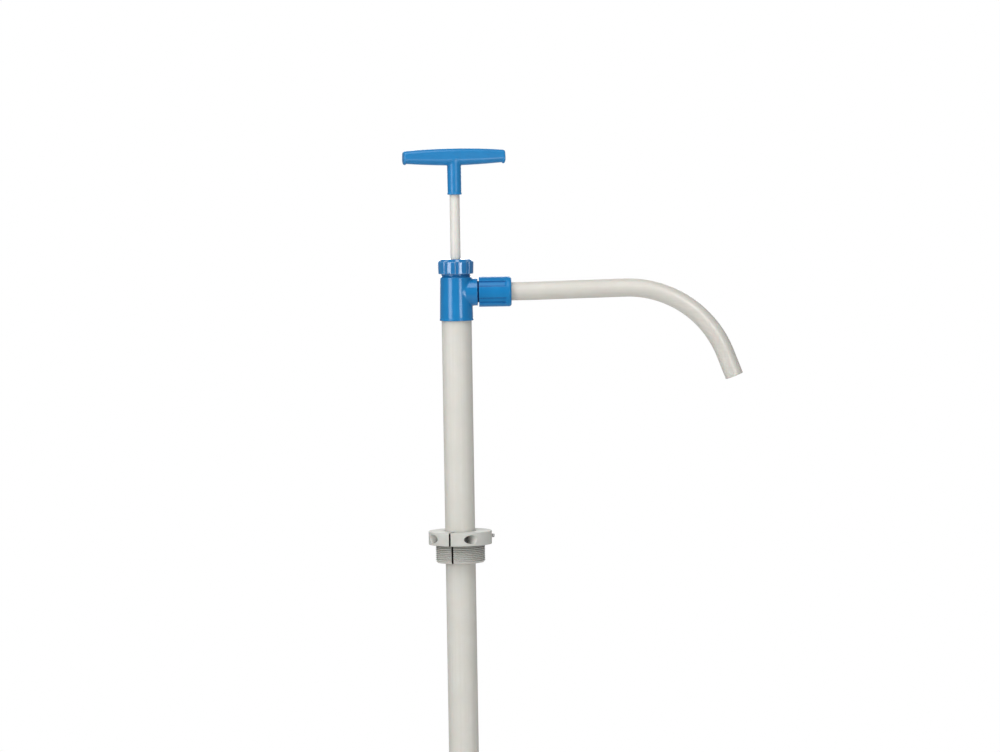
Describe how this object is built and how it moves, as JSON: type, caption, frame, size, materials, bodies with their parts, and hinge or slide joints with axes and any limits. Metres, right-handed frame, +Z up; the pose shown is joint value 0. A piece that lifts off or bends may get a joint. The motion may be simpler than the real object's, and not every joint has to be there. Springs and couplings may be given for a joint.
{
  "type": "hand-lift drum pump",
  "caption": "Hand-operated lift pump for drums: T-handle and piston rod in a long immersed barrel, tee head with a bent swivelling spout, and a split clamp collar for the drum opening.",
  "frame": {"origin": "centre of the clamp collar's seating face, on the barrel axis", "axes": "+Z up along the barrel towards the handle, +X along the side outlet towards the spout"},
  "size_m": [0.4045, 0.076, 1.3957],
  "materials": {
    "blue_plastic": "moulded polypropylene, satin gloss",
    "cream_plastic": "extruded and machined polypropylene, dull satin",
    "rod_plastic": "extruded white rod, satin",
    "natural_plastic": "natural machined plastic",
    "seal_rubber": "moulded black rubber",
    "fastener_steel": "stainless fastener"
  },
  "bodies": {
    "clamp": {"collar_half_left": "cream_plastic", "collar_half_right": "cream_plastic", "clamp_screw_front": "fastener_steel", "clamp_screw_rear": "fastener_steel", "clamp_nut_front": "fastener_steel", "clamp_nut_rear": "fastener_steel"},
    "grip": {"tube_grip_ring": "seal_rubber"},
    "barrel": {"barrel_tube": "cream_plastic", "barrel_seal_ring": "seal_rubber", "tee_head": "blue_plastic", "rod_seal_ring": "seal_rubber", "rod_guide_bush": "natural_plastic", "spout_seal_ring": "seal_rubber", "foot_body": "cream_plastic", "foot_seal_ring": "seal_rubber", "ball_stop_pin": "fastener_steel"},
    "cap": {"cap_nut": "blue_plastic"},
    "union": {"union_nut": "blue_plastic"},
    "spout": {"spout_tube": "cream_plastic", "spout_grip_ring": "natural_plastic"},
    "piston": {"piston_body": "natural_plastic", "piston_seal_ring": "seal_rubber"},
    "rod": {"piston_rod": "rod_plastic", "t_handle": "blue_plastic", "rod_stop_collar": "natural_plastic", "valve_stop_ring": "fastener_steel", "piston_washer": "fastener_steel", "piston_nut": "fastener_steel"},
    "upper_valve": {"piston_valve_disc": "seal_rubber"},
    "foot_valve": {"foot_ball": "natural_plastic"}
  },
  "joints": [
    {"name": "clamp_turn", "type": "hinge", "parent": "clamp", "child": "grip", "pos_m": [0, 0, 0.0065], "axis": [0, 0, 1], "continuous": true},
    {"name": "immersion_depth", "type": "slide", "parent": "grip", "child": "barrel", "axis": [0, 0, 1], "range_m": [-0.25, 0.35]},
    {"name": "pump_stroke", "type": "slide", "parent": "barrel", "child": "piston", "axis": [0, 0, 1], "range_m": [-0.075, 0.325]},
    {"name": "handle_turn", "type": "hinge", "parent": "piston", "child": "rod", "pos_m": [0, 0, 0.44], "axis": [0, 0, 1], "continuous": true},
    {"name": "upper_valve_lift", "type": "slide", "parent": "piston", "child": "upper_valve", "axis": [0, 0, 1], "range_m": [0, 0.0047]},
    {"name": "foot_valve_lift", "type": "slide", "parent": "barrel", "child": "foot_valve", "axis": [0, 0, 1], "range_m": [0, 0.0048]},
    {"name": "cap_nut_turn", "type": "hinge", "parent": "barrel", "child": "cap", "pos_m": [0, 0, 0.335], "axis": [0, 0, 1], "range_deg": [0, 1080]},
    {"name": "union_nut_turn", "type": "hinge", "parent": "barrel", "child": "union", "pos_m": [0.045, 0, 0.3027], "axis": [1, 0, 0], "range_deg": [0, 1080]},
    {"name": "spout_swivel", "type": "hinge", "parent": "barrel", "child": "spout", "pos_m": [0.05, 0, 0.3027], "axis": [1, 0, 0], "continuous": true}
  ]
}
